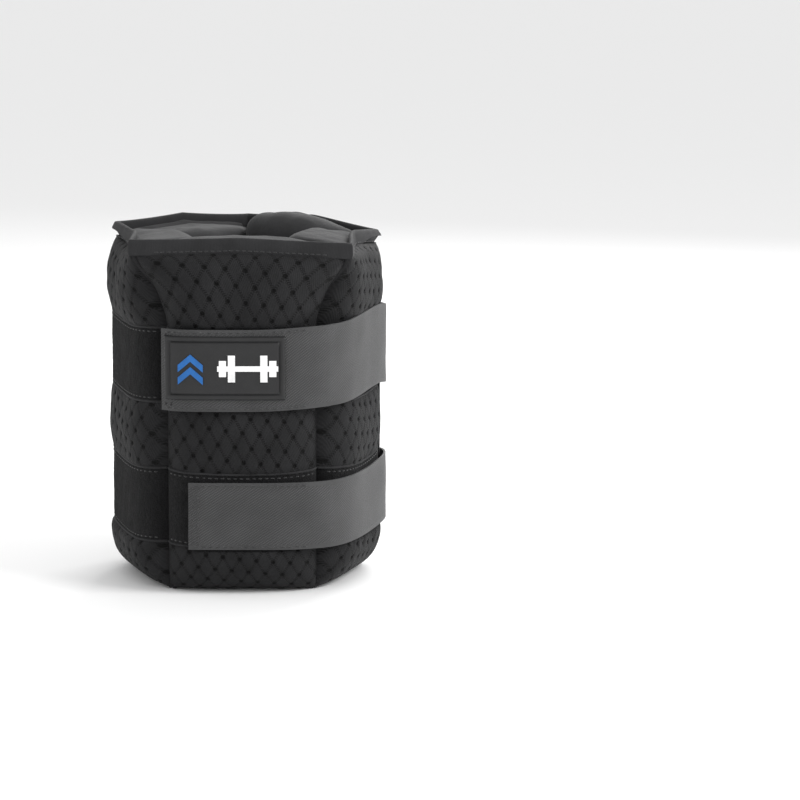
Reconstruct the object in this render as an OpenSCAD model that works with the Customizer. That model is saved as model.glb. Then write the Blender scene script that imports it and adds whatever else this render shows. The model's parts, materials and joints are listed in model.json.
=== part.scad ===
// Adjustable ankle cuff weight. Five pads hinge at their seams and ring the ankle. Each pad holds a
// removable bag of iron sand behind a flap, and two hook-and-loop straps close the ring.
// Z is up. The origin is on the floor, under the middle of the closed cuff. The front pad faces -Y.
// The part stands closed, as it is worn, and every joint is at zero.

/* [Cuff] */
// Height of the cuff from its bottom to its rim
cuff_height = 200; // [190:5:220]
// Width of one pad, from seam to seam
pad_width = 92; // [90:1:98]
// Depth of a pad, from its seams in towards the ankle
pad_depth = 30.5; // [30:0.5:32]
// How far the outside of a pad bulges past its seams
pad_bulge = 11; // [9:0.5:12]
// How square the bulge is: a higher number is flatter in the middle
pad_fullness = 4; // [3:1:5]

/* [Fabric] */
// Thickness of the smooth lining
lining_thickness = 2.8; // [2:0.1:3]
// Thickness of a pocket flap
flap_thickness = 2.4; // [2:0.1:2.6]
// Height down the inside at which a pocket's mouth begins
mouth_height = 150; // [145:5:160]
// Height at which a closed flap's hem ends
flap_hem_height = 130; // [125:5:140]
// Height of the edge binding
binding_height = 8; // [6:1:9]

/* [Bands and straps] */
// Height of the bottom edge of the lower loop band
lower_band_height = 28; // [24:1:30]
// Height of the bottom edge of the upper loop band
upper_band_height = 108; // [104:1:110]
// Width of a loop band
band_width = 42; // [40:1:44]
// Width of the lower strap
lower_strap_width = 38; // [36:1:40]
// Width of the upper strap, which carries the patch
upper_strap_width = 46; // [44:1:48]
// Length of a strap's sewn end
anchor_length = 48; // [40:1:56]

/* [Weights] */
// Height of a weight bag's top above the floor
bag_top = 188; // [180:1:190]
// Radius of a weight bag's long edges
bag_round = 10; // [8:1:11]

/* [Patch] */
// Height of the moulded patch
patch_height = 36; // [32:1:38]

/* [Hidden] */
pad_names = ["front", "right", "back_right", "back_left", "left"];
pad_parts = [
    "mesh_shell", "lining", "edge_binding", "lower_loop_band", "upper_loop_band",
    "pocket_flap", "flap_hook", "weight_bag", "iron_sand"
];
front = 0;
right = 1;
back_right = 2;

// The ring of pads, seen from above, is a regular pentagon. "Out" is the distance outwards from the
// line between a pad's two seams, and "along" is the distance along that line from its middle.
half_turn = 180 / len(pad_names);
half_width = pad_width / 2;
seam_inradius = half_width / tan(half_turn);
ring_centre = [-1.69, -1.07];
side_gap = 0.15;
curve_steps = 20;
// How far a cutting block reaches past what it cuts.
past = 1;

// Layers outside a pad. Each number is how far out the layer is at a seam.
// A loop band presses the bulge of the pad in.
shell_edge = 0.8;
band_press = 2.9;
shell_rise = pad_bulge - shell_edge;
band_seat_edge = 0.3;
band_edge = 2.1;
band_rise = pad_bulge - band_press;
hook_edge = 3.2;
strap_in_edge = 3.8;
strap_edge = 4.9;
patch_edge = 6.6;
mark_edge = 7.2;

// Layers inside a pad, as distances out from the seam line, so all are negative.
flap_in = -pad_depth;
flap_out = flap_in + flap_thickness;
hook_thickness = 0.7;
hook_gap = 0.4;
hook_inset = 3;
hook_out = flap_out + hook_thickness;
wall_in = hook_out + hook_gap;
wall_out = wall_in + lining_thickness;
bag_gap = 0.6;
bag_side_gap = 0.8;
bag_in = wall_out + bag_gap;
bag_out = -0.4;
bag_floor = 3.6;
bag_cloth = 1.5;
pocket_floor = 3;

// The rim, and the flap that hangs from it.
rim_out = 3.2;
rim_in = 0.1;
shell_bottom = 1;
shell_top = cuff_height - binding_height;
shell_end_out = 2.6;
// How square the rounded ends of a pad's outside are: a higher number is squarer.
shell_squareness = 8;
flap_top = cuff_height - 0.8;
flap_root_out = -1.3;
flap_root_half = 40.5;
flap_roof_gap = 0.2;
flap_leg_gap = 0.5;
foot_binding_depth = 3.2;
foot_binding_height = 5;
end_binding_start = 42.8;

// The straps leave their sewn ends this far from the closing seam.
strap_root = 40;

// Places along a strap are shares of the way from a pad's middle to the mitre beside it.
share_step = 0.05;
strap_end_gap = 0.997;
corner_share = 0.999;
anchor_gap_share = 0.008;
hook_start = 0.8;
hook_margin = 1;
lower_strap_end = -0.6;
upper_strap_end = -0.9;
patch_start = -0.85;
patch_end = 0.5;

// How far each strap's bottom edge is below its loop band.
lower_strap_drop = 2;
upper_strap_drop = 3.5;
lower_strap_low = lower_band_height - lower_strap_drop;
upper_strap_low = upper_band_height - upper_strap_drop;
patch_lift = 1.5;

// The marks: where each is along the pad, and its sizes.
// Each plate of the dumbbell is its place along the bar and its height.
mark_reach = seam_inradius + 3 * pad_bulge;
chevron_along = -28;
chevron_heights = [-9, -2];
chevron_half = 7;
chevron_climb = 6;
chevron_stroke = 4;
dumbbell_along = 4;
dumbbell_bar = [34, 3];
dumbbell_plates = [[9, 15], [14, 9]];
plate_thickness = 4;

patch_low = upper_strap_low + (upper_strap_width - patch_height) / 2 + patch_lift;

loop_colour = [0.06, 0.06, 0.065];
mesh_colour = [0.13, 0.13, 0.135];
lining_colour = [0.2, 0.2, 0.205];
binding_colour = [0.17, 0.17, 0.175];
webbing_colour = [0.3, 0.3, 0.305];

// How far out a bulged layer is, at a distance along the pad.
function crown(along, edge, rise) =
    edge + rise * (1 - pow(abs(along) / half_width, pad_fullness));

// A layer's curve along one pad, seen from above.
function crown_line(from, to, edge, rise) = [
    for (i = [0:curve_steps])
        let (along = from + (to - from) * i / curve_steps)
        [along, -(seam_inradius + crown(along, edge, rise))]
];

// A strap layer reaches past the seam to the mitre between two pads, where its share is 1.
function reach(edge) = half_width + edge * tan(half_turn);
function lap_point(pad, share, edge) =
    let (
        turn = 2 * half_turn * pad,
        x = share * reach(edge),
        y = -(seam_inradius + edge + band_rise * (1 - pow(abs(share), pad_fullness)))
    )
    [x * cos(turn) - y * sin(turn), x * sin(turn) + y * cos(turn)];
function reversed(list) = [for (i = [len(list) - 1:-1:0]) list[i]];
function rising_lap_line(pad, from, to, edge) = concat(
    [lap_point(pad, from, edge)],
    [
        for (i = [floor(from / share_step) + 1:ceil(to / share_step) - 1])
            lap_point(pad, i * share_step, edge)
    ],
    [lap_point(pad, to, edge)]
);

// Points at whole steps and at both ends, so that layers with different ends still meet face to face.
function lap_line(pad, from, to, edge) =
    from < to ? rising_lap_line(pad, from, to, edge) : reversed(rising_lap_line(pad, to, from, edge));

// Half the room between the two mitres of a pad, at a distance out.
function wedge_half(out) = (seam_inradius + out) * tan(half_turn) - side_gap;

// A flap's leg is straight-sided, so that it clears its neighbours as it swings in and up.
flap_leg_half = wedge_half(flap_in) - flap_leg_gap;

module at_pad(pad) {
    translate([ring_centre[0], ring_centre[1], 0])
        rotate([0, 0, 2 * half_turn * pad])
            children();
}

// A strip of one layer over one pad, between two heights.
module pad_strip(from, to, edge_in, edge_out, rise, low, high) {
    translate([0, 0, low])
        linear_extrude(high - low)
            polygon(concat(
                crown_line(from, to, edge_out, rise),
                reversed(crown_line(from, to, edge_in, rise))
            ));
}

// A straight-sided block that follows the mitres between two distances out.
module wedge_block(inner, outer, inset, low, high) {
    slope_inset = inset / cos(half_turn);
    translate([0, 0, low])
        linear_extrude(high - low)
            polygon([
                [-wedge_half(outer) + slope_inset, -(seam_inradius + outer)],
                [wedge_half(outer) - slope_inset, -(seam_inradius + outer)],
                [wedge_half(inner) - slope_inset, -(seam_inradius + inner)],
                [-wedge_half(inner) + slope_inset, -(seam_inradius + inner)]
            ]);
}

// A block between two distances out and two heights, across the whole pad.
module slab(inner, outer, half, low, high) {
    translate([-half, -(seam_inradius + outer), low])
        cube([2 * half, outer - inner, high - low]);
}

// The side view of a pad's outside: full between rounded ends.
module shell_profile() {
    middle = (shell_bottom + shell_top) / 2;
    half = (shell_top - shell_bottom) / 2;
    bulge = pad_bulge - shell_end_out;
    inner = seam_inradius + shell_end_out;
    rotate([90, 0, 90])
        linear_extrude(pad_width, center = true)
            polygon(concat(
                [[-seam_inradius + past, shell_bottom]],
                [
                    for (i = [-curve_steps:curve_steps])
                        let (share = sin(90 * i / curve_steps))
                        [
                            -(inner + bulge * (1 - pow(abs(share), shell_squareness))),
                            middle + half * share
                        ]
                ],
                [[-seam_inradius + past, shell_top]]
            ));
}

// Padded air-mesh cover. Its outside is pressed in where the loop bands are sewn.
module mesh_shell(pad) {
    start = pad == back_right ? -end_binding_start : side_gap - half_width;
    end = pad == right ? end_binding_start : half_width - side_gap;
    color(mesh_colour)
        at_pad(pad)
            difference() {
                intersection() {
                    linear_extrude(cuff_height)
                        polygon(concat(
                            crown_line(start, end, shell_edge, shell_rise),
                            [[end, -seam_inradius], [start, -seam_inradius]]
                        ));
                    shell_profile();
                }
                for (low = [lower_band_height, upper_band_height])
                    band_seat(start, end, low);
            }
}

// The room that a loop band is pressed into. It reaches past the band's ends and outside.
module band_seat(start, end, low) {
    seat = crown_line(start, end, band_seat_edge, band_rise);
    outside = -(seam_inradius + 2 * pad_bulge);
    translate([0, 0, low])
        linear_extrude(band_width)
            polygon(concat(
                [[start - past, outside], [start - past, seat[0][1]]],
                seat,
                [[end + past, seat[curve_steps][1]], [end + past, outside]]
            ));
}

// Smooth lining: a pocket with a floor, two side walls and a wall on the ankle's side.
module lining(pad) {
    color(lining_colour)
        at_pad(pad)
            difference() {
                wedge_block(wall_in, 0, 0, 0, shell_top);
                wedge_block(wall_out, past / 2, lining_thickness, pocket_floor, cuff_height);
                slab(wall_in - past, wall_out + past / 2, half_width, mouth_height, cuff_height);
                slab(-foot_binding_depth, past, half_width, -past, foot_binding_height);
            }
}

// Bound edges of the pad: the rim on top, and the foot.
module edge_binding(pad) {
    color(binding_colour)
        at_pad(pad) {
            slab(rim_in, rim_out, half_width - side_gap, shell_top, cuff_height);
            wedge_block(-foot_binding_depth, 0, 0, 0, foot_binding_height);
        }
}

// Loop band sewn across the outside of the pad.
module loop_band(pad, low) {
    start = pad == back_right ? -end_binding_start : side_gap - half_width;
    end = pad == right ? end_binding_start : half_width - side_gap;
    color(loop_colour)
        at_pad(pad)
            pad_strip(start, end, band_seat_edge, band_edge, band_rise, low, low + band_width);
}

// Binding down the free end of the cuff, on one side of the closing seam.
module end_binding(pad) {
    side = pad == right ? 1 : -1;
    end = half_width - side_gap;
    color(binding_colour)
        at_pad(pad)
            translate([0, 0, binding_height])
                linear_extrude(shell_top - 2 * binding_height)
                    polygon(concat(
                        crown_line(side * end_binding_start, side * end, band_edge, band_rise),
                        [[side * end, -seam_inradius], [side * end_binding_start, -seam_inradius]]
                    ));
}

// Pocket flap: a roof over the bag, and a leg that hangs down over the mouth.
module pocket_flap(pad) {
    color(lining_colour)
        at_pad(pad)
            union() {
                intersection() {
                    wedge_block(flap_in, flap_root_out, flap_roof_gap, flap_top - flap_thickness, flap_top);
                    slab(flap_in, flap_root_out, flap_root_half, 0, cuff_height);
                }
                slab(flap_in, flap_out, flap_leg_half, flap_hem_height, flap_top);
            }
}

// Hook strip on the inside of the flap's hem. It grips the lining below the mouth.
module flap_hook(pad) {
    color(loop_colour)
        at_pad(pad)
            slab(
                flap_out, hook_out, wedge_half(flap_in) - hook_inset,
                flap_hem_height + hook_inset, mouth_height - hook_inset - hook_margin
            );
}

// The plan of a bag or of what fills it, with an inset from the bag's outside.
module bag_plan(inset, low, high) {
    wedge_block(bag_in + inset, bag_out - inset, lining_thickness + bag_side_gap + inset, low, high);
}

// The side view of a bag, with rounded long edges at its top and its bottom.
module bag_profile(inset) {
    near = bag_in + inset;
    far = bag_out - inset;
    low = bag_floor + inset;
    high = bag_top - inset;
    round = bag_round - inset;
    rotate([90, 0, 90])
        linear_extrude(pad_width, center = true)
            union() {
                translate([-(seam_inradius + far), low + round])
                    square([far - near, high - low - 2 * round]);
                translate([-(seam_inradius + far - round), low])
                    square([far - near - 2 * round, high - low]);
                for (out = [near + round, far - round])
                    for (height = [low + round, high - round])
                        translate([-(seam_inradius + out), height])
                            circle(r = round, $fn = 48);
            }
}

// Woven bag, sewn shut all round.
module weight_bag(pad) {
    color("dimgray")
        at_pad(pad)
            difference() {
                intersection() {
                    bag_plan(0, 0, cuff_height);
                    bag_profile(0);
                }
                iron_sand_solid();
            }
}

// What the bag holds.
module iron_sand_solid() {
    intersection() {
        bag_plan(bag_cloth, 0, cuff_height);
        bag_profile(bag_cloth);
    }
}

module iron_sand(pad) {
    color("saddlebrown")
        at_pad(pad)
            iron_sand_solid();
}

// A strip of strap between two edges of its layers, over one pad or round a corner.
module strap_strip(outer, inner, low, high) {
    translate([ring_centre[0], ring_centre[1], low])
        linear_extrude(high - low)
            polygon(concat(outer, reversed(inner)));
}

// Sewn end of a strap, on the back right pad's loop band.
module strap_anchor(low, high) {
    root = -strap_root / reach(strap_edge) + anchor_gap_share;
    end = root + anchor_length / reach(strap_edge);
    color(webbing_colour)
        strap_strip(
            lap_line(back_right, root, end, strap_edge),
            lap_line(back_right, root, end, band_edge),
            low, high
        );
}

// Length of strap that leaves its sewn end, turns the closing seam and crosses the right pad.
module strap_side(low, width) {
    root = -strap_root / reach(strap_edge);
    color(webbing_colour)
        strap_strip(
            concat(
                lap_line(back_right, root, -corner_share, strap_edge),
                lap_line(right, 1, -strap_end_gap, strap_edge)
            ),
            concat(
                lap_line(back_right, root, -corner_share, strap_in_edge),
                lap_line(right, 1, -strap_end_gap, strap_in_edge)
            ),
            low, low + width
        );
}

// Free length of strap over the front pad.
module strap_front(low, width, end) {
    color(webbing_colour)
        strap_strip(
            lap_line(front, strap_end_gap, end, strap_edge),
            lap_line(front, strap_end_gap, end, strap_in_edge),
            low, low + width
        );
}

// Hook tape under the free length of the strap.
module strap_hook(low, width, end) {
    color(loop_colour)
        strap_strip(
            lap_line(front, hook_start, end + share_step, strap_in_edge),
            lap_line(front, hook_start, end + share_step, hook_edge),
            low + hook_margin, low + width - hook_margin
        );
}

// Moulded patch near the end of the upper strap.
module patch() {
    color([0.16, 0.16, 0.17])
        strap_strip(
            lap_line(front, patch_start, patch_end, patch_edge),
            lap_line(front, patch_start, patch_end, strap_edge),
            patch_low, patch_low + patch_height
        );
}

// The layer that the patch's raised marks are cut from.
module mark_layer() {
    strap_strip(
        lap_line(front, patch_start, patch_end, mark_edge),
        lap_line(front, patch_start, patch_end, patch_edge),
        patch_low, patch_low + patch_height
    );
}

// Two chevrons that point up, on the left of the patch.
module patch_chevrons() {
    middle = patch_low + patch_height / 2;
    color([0.1, 0.45, 0.85])
        intersection() {
            mark_layer();
            for (height = chevron_heights)
                translate([ring_centre[0] + chevron_along, 0, middle + height])
                    rotate([90, 0, 0])
                        linear_extrude(mark_reach)
                            polygon([
                                [-chevron_half, 0], [0, chevron_climb], [chevron_half, 0],
                                [chevron_half, chevron_stroke], [0, chevron_climb + chevron_stroke],
                                [-chevron_half, chevron_stroke]
                            ]);
        }
}

// A dumbbell seen from the side, on the right of the patch.
module patch_dumbbell() {
    middle = patch_low + patch_height / 2;
    color("white")
        intersection() {
            mark_layer();
            translate([ring_centre[0] + dumbbell_along, 0, middle])
                rotate([90, 0, 0])
                    linear_extrude(mark_reach)
                        union() {
                            square(dumbbell_bar, center = true);
                            for (side = [-1, 1])
                                for (plate = dumbbell_plates)
                                    translate([side * plate[0], 0])
                                        square([plate_thickness, plate[1]], center = true);
                        }
        }
}

for (pad = [0:len(pad_names) - 1]) {
    name = pad_names[pad];
    mesh_shell(pad);
    lining(pad);
    edge_binding(pad);
    loop_band(pad, lower_band_height);
    loop_band(pad, upper_band_height);
    pocket_flap(pad);
    flap_hook(pad);
    weight_bag(pad);
    iron_sand(pad);
}
end_binding(right);  // right_end_binding
end_binding(back_right);  // back_right_end_binding
strap_anchor(lower_band_height, lower_strap_low + lower_strap_width);  // lower_strap_anchor
strap_side(lower_strap_low, lower_strap_width);  // lower_strap_side
strap_front(lower_strap_low, lower_strap_width, lower_strap_end);  // lower_strap_front
strap_hook(lower_strap_low, lower_strap_width, lower_strap_end);  // lower_strap_hook
strap_anchor(upper_band_height, upper_band_height + band_width);  // upper_strap_anchor
strap_side(upper_strap_low, upper_strap_width);  // upper_strap_side
strap_front(upper_strap_low, upper_strap_width, upper_strap_end);  // upper_strap_front
strap_hook(upper_strap_low, upper_strap_width, upper_strap_end);  // upper_strap_hook
patch();
patch_chevrons();
patch_dumbbell();
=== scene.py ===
"""Looks of the ankle cuff weight: five padded mesh pads in a ring, closed by two webbing straps.

Lengths are in millimetres until place() turns them into the frame's metres. On each pad, "along" runs
from its left seam to its right seam, "out" is the distance outwards from the line between the seams,
and "height" is above the floor.
"""

import json
import math

import bpy
import numpy as np
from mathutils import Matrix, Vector


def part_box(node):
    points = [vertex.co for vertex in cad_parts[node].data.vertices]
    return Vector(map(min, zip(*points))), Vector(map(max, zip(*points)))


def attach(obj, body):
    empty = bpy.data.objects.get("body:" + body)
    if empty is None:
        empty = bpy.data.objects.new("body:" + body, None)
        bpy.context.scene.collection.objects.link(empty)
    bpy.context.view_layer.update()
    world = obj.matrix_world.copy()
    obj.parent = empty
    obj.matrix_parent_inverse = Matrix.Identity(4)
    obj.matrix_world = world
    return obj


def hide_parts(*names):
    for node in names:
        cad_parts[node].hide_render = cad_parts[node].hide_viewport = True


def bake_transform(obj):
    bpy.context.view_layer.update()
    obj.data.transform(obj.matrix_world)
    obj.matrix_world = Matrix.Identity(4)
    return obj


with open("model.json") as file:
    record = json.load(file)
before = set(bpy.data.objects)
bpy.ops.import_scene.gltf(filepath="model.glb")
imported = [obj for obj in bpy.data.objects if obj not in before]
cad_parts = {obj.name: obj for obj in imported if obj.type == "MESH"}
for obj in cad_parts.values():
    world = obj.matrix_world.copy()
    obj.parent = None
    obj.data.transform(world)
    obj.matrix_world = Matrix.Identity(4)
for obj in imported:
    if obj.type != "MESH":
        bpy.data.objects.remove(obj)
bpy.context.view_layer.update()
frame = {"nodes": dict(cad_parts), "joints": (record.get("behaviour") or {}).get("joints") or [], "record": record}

MM = 0.001
PADS = ["front", "right", "back_right", "back_left", "left"]
FRONT, RIGHT, BACK_RIGHT, BACK_LEFT, LEFT = range(5)
TURN = math.radians(72)
TAN_HALF = math.tan(TURN / 2)

# ---- the ring, from the frame's joints
joints = {j["name"]: j for j in frame["joints"]}


def seam_point(name):
    return np.array(joints[name]["pos_m"][:2]) / MM


front_left, front_right = seam_point("front_left_seam"), seam_point("front_right_seam")
HALF = np.linalg.norm(front_right - front_left) / 2
INRADIUS = HALF / TAN_HALF
CENTRE = (front_left + front_right) / 2 + np.array([0, INRADIUS])


def heights(node):
    low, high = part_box(node)
    return low.z / MM, high.z / MM


LOWER_BAND = heights("front_lower_loop_band")
UPPER_BAND = heights("front_upper_loop_band")
LOWER_STRAP = heights("lower_strap_front")
UPPER_STRAP = heights("upper_strap_front")
PATCH = heights("patch")
RIM_TOP = heights("front_edge_binding")[1]
RIM_BOTTOM = heights("front_mesh_shell")[1]
FLAP_TOP = heights("front_pocket_flap")[1]
FLAP_HEM = heights("front_pocket_flap")[0]
BAG_TOP = heights("front_weight_bag")[1]

# Layers as distances out at a seam, and how much further out they are in the middle of a pad.
BAND_RISE = 8.1
BAND_SEAT = 0.3
BAND_EDGE = 2.1
HOOK_EDGE = 3.2
STRAP_IN = 3.8
STRAP_EDGE = 4.9
PATCH_EDGE = 6.6
RIM_OUT = 3.2
WALL_IN = -27.0
BAG_IN = -23.6
BAG_OUT = -0.6
BAG_SEAT = 3.7
FLAP_IN = -30.5
SIDE_GAP = 0.15
FREE_END = 42.8
PINCH = 9.8
PEAK = PINCH + 2.6
# How far the free ends of the straps lie closer to the front pad than their middles.
FREE_END_TUCK = 3.2
# The fabric dives this far into the valley at a seam, so a pad's outside is this long from middle to valley.
VALLEY = -6.0
VALLEY_HALF = HALF + VALLEY * TAN_HALF - SIDE_GAP

# How far the soft rim has moved: direction from the middle in degrees, the width of the moved stretch
# in degrees, and the move to the right, back and up.
RIM_MOVES = [
    (-54, 38, (14, 0, -2)),
    (18, 34, (-1, 1, -4)),
    (54, 34, (0, -2, 2)),
    (90, 40, (0, -5, 0)),
    (126, 34, (0, 0, 3)),
    (162, 40, (2, -2, 1)),
    (234, 38, (-14, 0, 0)),
    (270, 34, (0, 0, 1)),
]
# Directions of the two corners at the sides, where the rim's flange is bent outwards.
SIDE_CORNERS = (18, 162)
# The same as RIM_MOVES for the fabric below the rim.
BODY_MOVES = [(168, 62, (0, 0, 3.5)), (14, 40, (0, 0, 2.5))]


# ---- numbers
def smooth(x, low, high):
    t = np.clip((np.asarray(x, float) - low) / (high - low), 0, 1)
    return t * t * (3 - 2 * t)


def ripple(a, b, length, seed):
    """Smooth seeded noise, about -1 to 1, over a surface, with waves of about this length."""
    rng = np.random.default_rng(seed)
    total = 0
    for _ in range(8):
        angle, phase = rng.uniform(0, 2 * math.pi, 2)
        wave = length * rng.uniform(0.7, 1.7)
        total = total + np.sin(2 * math.pi * (a * math.cos(angle) + b * math.sin(angle)) / wave + phase)
    return total / 5


def run_along(path):
    """Distance along a path of points to each of them."""
    return np.concatenate([[0], np.cumsum(np.linalg.norm(np.diff(path, axis=0), axis=-1))])


def points_at(path, run, spots):
    """Points of a path at some distances along it."""
    return np.stack([np.interp(spots, run, path[:, k]) for k in range(path.shape[1])], -1)


def degrees_between(angle, direction):
    return np.abs((angle - direction + 180) % 360 - 180)


def crown(along):
    """How full a pad is at a distance along it: 1 in the middle and 0 in its valleys."""
    return np.clip(1 - np.abs(np.asarray(along, float) / VALLEY_HALF) ** 4, 0, 1) ** 0.55


def bulged(along, edge, middle):
    """Distance out of a layer that dives into the valleys: its depth there and in the middle of the pad."""
    full = crown(along)
    return VALLEY + edge + (middle - VALLEY - edge) * full


def reach(edge):
    return HALF + edge * TAN_HALF


def wedge_half(out):
    return (INRADIUS + out) * TAN_HALF - SIDE_GAP


def place(pad, along, out, height):
    """A point on a pad in the frame, in metres, with the soft rim and the fabric below it moved."""
    along, out, height = np.broadcast_arrays(*(np.asarray(v, float) for v in (along, out, height)))
    cos, sin = math.cos(TURN * pad), math.sin(TURN * pad)
    x, y = along, -(INRADIUS + out)
    x, y = x * cos - y * sin, x * sin + y * cos
    from_axis = np.hypot(x, y)
    lift = smooth(height, UPPER_BAND[1] - 2, RIM_TOP - 2) * smooth(from_axis, 34, 66)
    angle = np.degrees(np.arctan2(y, x))
    points = np.stack([CENTRE[0] + x, CENTRE[1] + y, height], -1)
    for direction, width, move in RIM_MOVES:
        away = degrees_between(angle, direction)
        points += (lift * np.clip(1 - away / width, 0, 1) ** 1.3)[..., None] * np.array(move, float)
    body = smooth(height, 8, 34) * (1 - smooth(height, UPPER_BAND[1], RIM_BOTTOM - 6))
    body = body * smooth(from_axis, 34, 50)
    for direction, width, move in BODY_MOVES:
        away = degrees_between(angle, direction)
        points += (body * (1 - smooth(away, 0, width)))[..., None] * np.array(move, float)
    return points * MM


def strap_place(pad, share, edge, height):
    """A point on a strap's layer. A share of 1 is the mitre between two pads."""
    share = np.asarray(share, float)
    out = edge + BAND_RISE * (1 - np.abs(share) ** 4)
    if pad == FRONT:
        out = out - FREE_END_TUCK * smooth(-share, 0.7, 0.95)
    return place(pad, share * reach(edge), out, height)


# ---- meshes
def add_mesh(name, points, faces, uv, material, sharp=50):
    mesh = bpy.data.meshes.new(name)
    mesh.from_pydata(points.tolist(), [], faces)
    layer = mesh.uv_layers.new(name="UVMap")
    index = np.zeros(len(mesh.loops), np.int32)
    mesh.loops.foreach_get("vertex_index", index)
    layer.data.foreach_set("uv", uv[index].astype(np.float32).ravel())
    mesh.polygons.foreach_set("use_smooth", np.ones(len(mesh.polygons), bool))
    mesh.set_sharp_from_angle(angle=math.radians(sharp))
    mesh.materials.append(material)
    piece = bpy.data.objects.new(name, mesh)
    bpy.context.scene.collection.objects.link(piece)
    return piece


def real_uv(top):
    """Real distances along a grid's two directions, in metres, from its middle lines."""
    rows, columns = top.shape[:2]
    a, b = run_along(top[:, columns // 2]), run_along(top[rows // 2])
    return np.stack(np.meshgrid(a, b, indexing="ij"), -1)


def border(rows, columns):
    return (
        [(i, 0) for i in range(rows)]
        + [(rows - 1, j) for j in range(1, columns)]
        + [(i, columns - 1) for i in range(rows - 2, -1, -1)]
        + [(0, j) for j in range(columns - 2, 0, -1)]
    )


def grid_faces(rows, columns, offset=0, flip=False):
    index = np.arange(rows * columns).reshape(rows, columns) + offset
    quads = np.stack([index[:-1, :-1], index[1:, :-1], index[1:, 1:], index[:-1, 1:]], -1).reshape(-1, 4)
    return (quads[:, ::-1] if flip else quads).tolist()


def solid(name, top, under, material, slot=None, lip=0.0, uv=None, sharp=50, flat_back=False):
    """A closed piece between two grids of points, with its border rounded outwards by lip.

    With flat_back the under side is one flat face, and only the border of its grid is used.
    """
    rows, columns = top.shape[:2]
    count = rows * columns
    uv = real_uv(top) if uv is None else uv
    edge = border(rows, columns)
    ei, ej = np.array(edge).T
    ring = ei * columns + ej
    inner_i, inner_j = np.clip(ei, 1, rows - 2), np.clip(ej, 1, columns - 2)
    outward = top[ei, ej] - top[inner_i, inner_j]
    outward /= np.maximum(np.linalg.norm(outward, axis=-1, keepdims=True), 1e-9)
    middle = (top[ei, ej] + under[ei, ej]) / 2 + outward * lip * MM
    parts, uvs = [top.reshape(-1, 3), middle], [uv.reshape(-1, 2), uv[ei, ej] + 0.0004]
    faces = grid_faces(rows, columns)
    length = len(edge)
    if flat_back:
        parts.append(under[ei, ej])
        uvs.append(uv[ei, ej] + 0.0008)
        back = count + length + np.arange(length)
        faces.append(back.tolist())
    else:
        parts.append(under.reshape(-1, 3))
        uvs.append(uv.reshape(-1, 2))
        back = count + length + ring
        faces += grid_faces(rows, columns, count + length, flip=True)
    lip_ring = count + np.arange(length)
    for near, far in ((ring, lip_ring), (lip_ring, back)):
        faces += np.stack([near, far, np.roll(far, -1), np.roll(near, -1)], -1).tolist()
    points = np.concatenate(parts)
    piece = add_mesh(name, points, faces, np.concatenate(uvs), material, sharp)
    return outward_normals(piece)


def outward_normals(piece):
    """Turns a closed piece's faces outwards."""
    mesh = piece.data
    mesh.calc_loop_triangles()
    co = np.zeros(len(mesh.vertices) * 3, np.float32)
    mesh.vertices.foreach_get("co", co)
    tri = np.zeros(len(mesh.loop_triangles) * 3, np.int32)
    mesh.loop_triangles.foreach_get("vertices", tri)
    p = co.reshape(-1, 3).astype(float)
    p = (p - p.mean(0))[tri.reshape(-1, 3)]
    if np.einsum("ij,ij->i", p[:, 0], np.cross(p[:, 1], p[:, 2])).sum() < 0:
        mesh.flip_normals()
    return piece


def loft(name, rings, material, slot=None, sharp=50):
    """A closed piece through rings of points, with flat ends."""
    rings = np.asarray(rings, float)
    count, sides = rings.shape[:2]
    index = np.arange(count * sides).reshape(count, sides)
    step = np.roll(index, -1, 1)
    faces = np.stack([index[:-1], index[1:], step[1:], step[:-1]], -1).reshape(-1, 4).tolist()
    faces += [index[0].tolist(), index[-1, ::-1].tolist()]
    a, b = run_along(rings[:, 0]), run_along(rings[count // 2])
    uv = np.stack(np.meshgrid(a, b, indexing="ij"), -1).reshape(-1, 2)
    return outward_normals(add_mesh(name, rings.reshape(-1, 3), faces, uv, material, sharp))


def tube_rings(path, radius, sides=8):
    """Rings of a round tube along a path of points in metres."""
    path = np.asarray(path, float)
    ahead = np.gradient(path, axis=0)
    ahead /= np.linalg.norm(ahead, axis=-1, keepdims=True)
    up = np.array([0.0, 0.0, 1.0]) if abs(ahead[:, 2]).max() < 0.9 else np.array([0.31, 0.95, 0.05])
    side = np.cross(ahead, up)
    side /= np.linalg.norm(side, axis=-1, keepdims=True)
    up = np.cross(side, ahead)
    turn = 2 * math.pi * np.arange(sides) / sides
    return path[:, None] + radius * MM * (
        np.cos(turn)[None, :, None] * side[:, None] + np.sin(turn)[None, :, None] * up[:, None]
    )


def joined(name, pieces):
    """Several meshes as one piece that keeps the first one's slot."""
    for other in bpy.context.selected_objects:
        other.select_set(False)
    for piece in pieces:
        piece.select_set(True)
    bpy.context.view_layer.objects.active = pieces[0]
    bpy.ops.object.join()
    pieces[0].name = name
    pieces[0].data.name = name
    return pieces[0]


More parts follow.
